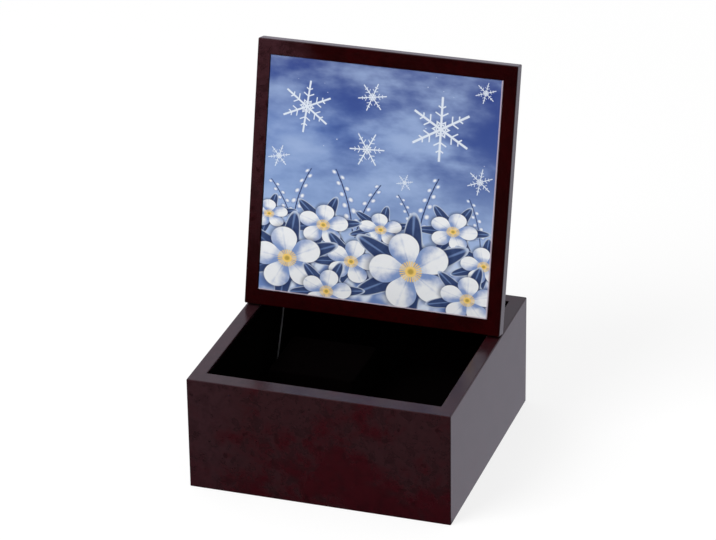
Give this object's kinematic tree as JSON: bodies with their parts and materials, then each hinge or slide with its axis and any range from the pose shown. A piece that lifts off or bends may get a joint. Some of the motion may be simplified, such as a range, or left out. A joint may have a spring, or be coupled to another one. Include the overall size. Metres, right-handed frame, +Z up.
{
  "type": "music box",
  "caption": "Square lacquered wooden music box whose picture lid stands open on hidden stay arms, with a pinned-cylinder movement under a cover and a winding key beneath.",
  "frame": {"origin": "centre of the case's footprint, on the surface that it stands on", "axes": "+X to the box's right as seen from the front, +Y from the front to the rear, +Z up"},
  "size_m": [0.17, 0.17, 0.2449],
  "materials": {
    "burl_lacquer": "high gloss",
    "plywood": "raw",
    "black_flock": "matt flock",
    "picture_glaze": "gloss",
    "glue_foam": "matt",
    "black_steel": "satin black",
    "bright_steel": "plain",
    "blue_steel": "blued",
    "brass": "plain",
    "cast_zinc": "as cast",
    "black_plastic": "flocked"
  },
  "bodies": {
    "case": {"front_wall": "burl_lacquer", "rear_wall": "burl_lacquer", "left_wall": "burl_lacquer", "right_wall": "burl_lacquer", "base_board": "plywood", "base_screws": "bright_steel", "floor_lining": "black_flock", "front_lining": "black_flock", "rear_lining": "black_flock", "left_lining": "black_flock", "right_lining": "black_flock", "left_wall_bracket": "black_steel", "right_wall_bracket": "black_steel", "wall_bracket_screws": "black_steel", "case_rivets": "black_steel", "bedplate": "cast_zinc", "movement_screws": "bright_steel", "comb": "bright_steel", "comb_screws": "bright_steel", "bracket_screws": "bright_steel", "left_bearing_bracket": "brass", "middle_bearing_bracket": "brass", "rear_bearing_bracket": "brass", "governor_bracket": "brass", "movement_cover": "black_plastic"},
    "stay_arms": {"left_stay_arm": "black_steel", "right_stay_arm": "black_steel"},
    "lid": {"lid_board": "burl_lacquer", "tile_bed": "glue_foam", "picture_tile": "picture_glaze", "lid_lining": "black_flock", "left_lid_bracket": "black_steel", "right_lid_bracket": "black_steel", "lid_bracket_screws": "black_steel", "lid_rivets": "black_steel"},
    "barrel": {"spring_barrel": "brass", "mainspring": "blue_steel"},
    "winder": {"winding_arbor": "bright_steel", "retaining_clip": "bright_steel", "winding_key": "brass"},
    "cylinder": {"pinned_cylinder": "brass", "cylinder_arbor": "bright_steel", "cylinder_gear": "brass", "crown_pinion": "brass"},
    "intermediate": {"intermediate_arbor": "bright_steel", "worm_wheel": "brass"},
    "governor": {"governor_worm": "bright_steel", "governor_fan": "brass"},
    "stop_lever": {"stop_wire": "bright_steel"}
  },
  "joints": [
    {"name": "arm_swing", "type": "hinge", "parent": "case", "child": "stay_arms", "pos_m": [0, 0.0707, 0.07], "axis": [1, 0, 0], "range_deg": [0, 76.8]},
    {"name": "lid_tilt", "type": "hinge", "parent": "stay_arms", "child": "lid", "pos_m": [0, 0.05232, 0.14836], "axis": [1, 0, 0], "range_deg": [-153.6, 0]},
    {"name": "stop_wire_swing", "type": "hinge", "parent": "case", "child": "stop_lever", "pos_m": [-0.068, 0.0305, 0.0255], "axis": [1, 0, 0], "range_deg": [-9.22, 0]},
    {"name": "key_turn", "type": "hinge", "parent": "case", "child": "winder", "pos_m": [-0.018, 0.0235, 0.022], "axis": [0, 0, 1], "continuous": true},
    {"name": "barrel_spin", "type": "hinge", "parent": "case", "child": "barrel", "pos_m": [-0.018, 0.0235, 0.024], "axis": [0, 0, 1], "continuous": true},
    {"name": "cylinder_spin", "type": "hinge", "parent": "case", "child": "cylinder", "pos_m": [-0.0388, 0.0235, 0.03613], "axis": [1, 0, 0], "continuous": true},
    {"name": "intermediate_spin", "type": "hinge", "parent": "case", "child": "intermediate", "pos_m": [-0.0521, 0.0305, 0.03613], "axis": [1, 0, 0], "continuous": true},
    {"name": "governor_spin", "type": "hinge", "parent": "case", "child": "governor", "pos_m": [-0.0515, 0.036, 0.03613], "axis": [0, 0, 1], "continuous": true}
  ],
  "couplings": [
    {"joint": "lid_tilt", "follows": "arm_swing", "ratio": -2},
    {"joint": "stop_wire_swing", "follows": "arm_swing", "ratio": -0.12},
    {"joint": "cylinder_spin", "follows": "barrel_spin", "ratio": -4},
    {"joint": "intermediate_spin", "follows": "barrel_spin", "ratio": 12},
    {"joint": "governor_spin", "follows": "barrel_spin", "ratio": -192}
  ]
}
